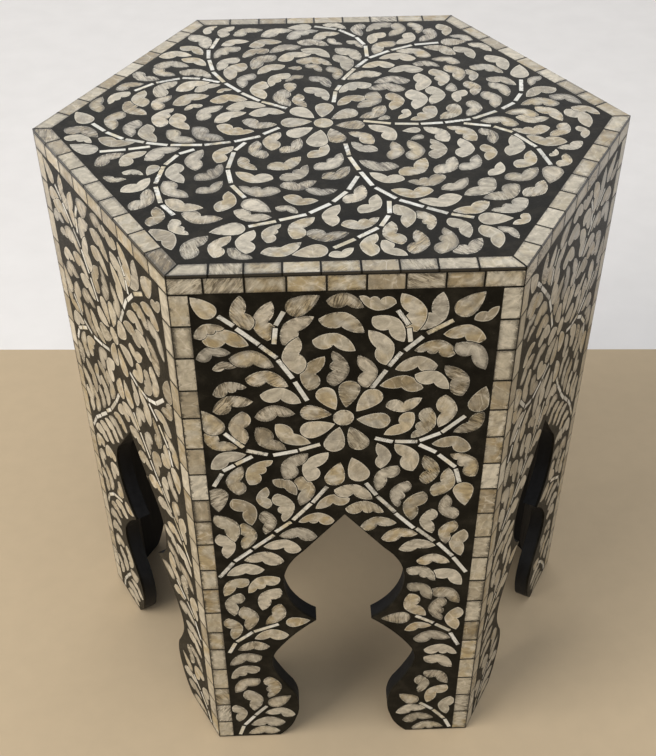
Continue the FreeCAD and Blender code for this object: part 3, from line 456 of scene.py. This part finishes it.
def joined_faces():
    """Joins a solid's faces at their shared edges, and drops the normals that were stored with them."""
    group = bpy.data.node_groups.new("joined_faces", "GeometryNodeTree")
    group.interface.new_socket("Geometry", in_out="INPUT", socket_type="NodeSocketGeometry")
    group.interface.new_socket("Geometry", in_out="OUTPUT", socket_type="NodeSocketGeometry")
    start = group.nodes.new("NodeGroupInput")
    end = group.nodes.new("NodeGroupOutput")
    merge = group.nodes.new("GeometryNodeMergeByDistance")
    merge.inputs["Distance"].default_value = WELD_REACH
    fresh = group.nodes.new("GeometryNodeSetMeshNormal")
    fresh.mode = "SHARPNESS"
    group.links.new(start.outputs[0], merge.inputs["Geometry"])
    group.links.new(merge.outputs["Geometry"], fresh.inputs["Mesh"])
    group.links.new(fresh.outputs["Mesh"], end.inputs[0])
    return group


def dress(thing, material, width, joined):
    """Give a CAD node its material, and soften its edges by a small width."""
    thing.data.materials.clear()
    thing.data.materials.append(material)
    thing.modifiers.new("join", "NODES").node_group = joined
    bevel = thing.modifiers.new("soft_edge", "BEVEL")
    bevel.width = width
    bevel.segments = EDGE_STEPS
    bevel.limit_method = "ANGLE"
    bevel.angle_limit = EDGE_ANGLE
    thing.modifiers.new("flat_faces", "WEIGHTED_NORMAL").weight = FLAT_WEIGHT


def inlay_looks():
    """The nodes of the inlaid skins, each with its material and softened edge."""
    leaf = shell("leaf_shell", LEAF_LOOK)
    petal = shell("petal_shell", PETAL_LOOK)
    tile = shell("tile_shell", TILE_LOOK)
    top_tile = shell("top_tile_shell", TOP_TILE_LOOK)
    stem = shell("stem_shell", STEM_LOOK)
    filler = resin()
    for face in FACES:
        yield face + "_leaves", leaf, PIECE_EDGE
        yield face + "_flower", petal, PIECE_EDGE
        yield face + "_tiles", top_tile if face == "top" else tile, TILE_EDGE
        yield face + "_stems", stem, PIECE_EDGE
        yield face + "_resin", filler, RESIN_EDGE


def carcass_looks():
    """The nodes under the skins, each with its material and softened edge."""
    board = paint("board_paint", BOARD_TONES)
    timber = paint("timber_paint", TIMBER_TONES)
    metal = steel()
    yield "top_board", board, BOARD_EDGE
    for panel in PANELS:
        yield panel + "_panel", board, BOARD_EDGE
        yield panel + "_block", timber, BOARD_EDGE
        yield panel + "_cleat", timber, BOARD_EDGE
    yield "top_screws", metal, PIECE_EDGE
    yield "panel_screws", metal, PIECE_EDGE


def dress_table():
    joined = joined_faces()
    for looks in (inlay_looks(), carcass_looks()):
        for node, material, width in looks:
            dress(nodes[node], material, width, joined)


def slab(name, corners, material):
    mesh = bpy.data.meshes.new(name)
    mesh.from_pydata(corners, [], [(0, 1, 2, 3)])
    thing = bpy.data.objects.new(name, mesh)
    mesh.materials.append(material)
    bpy.context.collection.objects.link(thing)


def build_stage():
    left, right = -STAGE_REACH, STAGE_REACH
    near, far = -STAGE_REACH, STAGE_REACH
    back_left = (left, FLOOR_BACK - FLOOR_SLANT * left, 0)
    back_right = (right, FLOOR_BACK - FLOOR_SLANT * right, 0)
    floor = plain("floor_pale", FLOOR_TONE, FLOOR_GRAIN, FLOOR_BUMP)
    paper = plain("paper_white", PAPER_TONE, PAPER_GRAIN, PAPER_BUMP)
    slab("floor", [(left, near, 0), (right, near, 0), back_right, back_left], floor)
    slab("paper", [back_left, back_right, (right, far, 0), (left, far, 0)], paper)


def build_lamp(lamp):
    light = bpy.data.lights.new(lamp.name, "AREA")
    light.shape = "RECTANGLE"
    light.size, light.size_y = lamp.size
    light.energy = lamp.power
    light.color = lamp.colour
    thing = bpy.data.objects.new(lamp.name, light)
    thing.location = lamp.place
    thing.rotation_euler = (LAMP_TARGET - Vector(lamp.place)).to_track_quat("-Z", "Y").to_euler()
    bpy.context.collection.objects.link(thing)


def surroundings():
    """A soft even light from all around, which looks pale itself and in reflections."""
    world = bpy.data.worlds.new("room")
    world.use_nodes = True
    tree = world.node_tree
    sky = tree.nodes["Background"]
    sky.inputs["Color"].default_value = (*ROOM_COLOUR, 1)
    path = tree.nodes.new("ShaderNodeLightPath")
    seen = path.outputs["Is Camera Ray"]
    for ray in ("Is Glossy Ray", "Is Transmission Ray"):
        either = tree.nodes.new("ShaderNodeMath")
        either.operation = "MAXIMUM"
        tree.links.new(seen, either.inputs[0])
        tree.links.new(path.outputs[ray], either.inputs[1])
        seen = either.outputs[0]
    level = tree.nodes.new("ShaderNodeMapRange")
    tree.links.new(seen, level.inputs["Value"])
    level.inputs["To Min"].default_value = ROOM_LIGHT
    level.inputs["To Max"].default_value = ROOM_SEEN
    tree.links.new(level.outputs["Result"], sky.inputs["Strength"])
    return world


def build_light():
    for lamp in LAMPS:
        build_lamp(lamp)
    bpy.context.scene.world = surroundings()


def build_camera():
    ahead = CAMERA_AHEAD.normalized()
    right = (CAMERA_RIGHT - ahead * CAMERA_RIGHT.dot(ahead)).normalized()
    up = right.cross(ahead)
    turn = Matrix((right, up, -ahead)).transposed()
    lens = bpy.data.cameras.new("camera")
    lens.lens = CAMERA_LENS
    lens.sensor_width = CAMERA_SENSOR
    lens.clip_start = CAMERA_CLIP
    thing = bpy.data.objects.new("camera", lens)
    thing.matrix_world = Matrix.Translation(CAMERA_PLACE) @ turn.to_4x4()
    bpy.context.collection.objects.link(thing)
    bpy.context.scene.camera = thing


dress_table()
build_stage()
build_light()
build_camera()
bpy.context.scene.view_settings.view_transform = "Standard"
